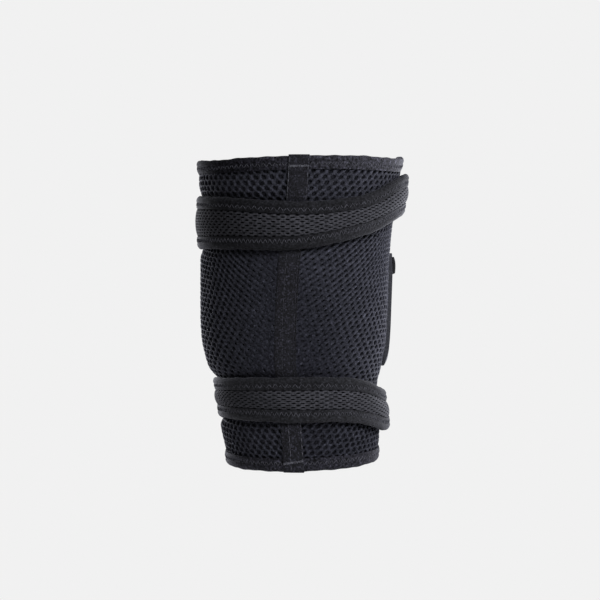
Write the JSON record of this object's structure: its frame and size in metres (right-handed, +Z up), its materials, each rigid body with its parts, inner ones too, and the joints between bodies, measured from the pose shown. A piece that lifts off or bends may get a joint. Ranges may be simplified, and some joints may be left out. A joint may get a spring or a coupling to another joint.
{
  "type": "knee support",
  "caption": "Pull-on knee support: a hollow tapered sleeve of spacer mesh with bound rims, a taped back seam, wrap straps above and below the knee and a thin side pad.",
  "frame": {"origin": "on the leg's axis at the middle of the knee, where the leg holds the support", "axes": "+Z up the leg towards the thigh, -Y out of the back of the knee, +X towards the side pad"},
  "size_m": [0.1539, 0.1569, 0.217],
  "materials": {
    "sleeve_mesh": "black spacer mesh with hexagonal holes, matt",
    "hem_binding": "black folded knit binding, matt, zigzag stitched",
    "seam_tape": "black woven twill tape, matt",
    "strap_mesh": "black elastic mesh with lens-shaped holes, matt",
    "strap_binding": "black folded elastic binding, matt, zigzag stitched",
    "hook_tab": "black hook fastener backing, satin",
    "side_pad": "black smooth padded knit, matt"
  },
  "bodies": {
    "root": {"sleeve": "sleeve_mesh", "top_hem": "hem_binding", "bottom_hem": "hem_binding", "back_seam_tape": "seam_tape", "upper_strap_mesh": "strap_mesh", "upper_strap_top_binding": "strap_binding", "upper_strap_bottom_binding": "strap_binding", "upper_strap_tab": "hook_tab", "lower_strap_mesh": "strap_mesh", "lower_strap_top_binding": "strap_binding", "lower_strap_bottom_binding": "strap_binding", "lower_strap_tab": "hook_tab", "side_pad": "side_pad", "side_pad_tab": "hook_tab"}
  },
  "joints": []
}
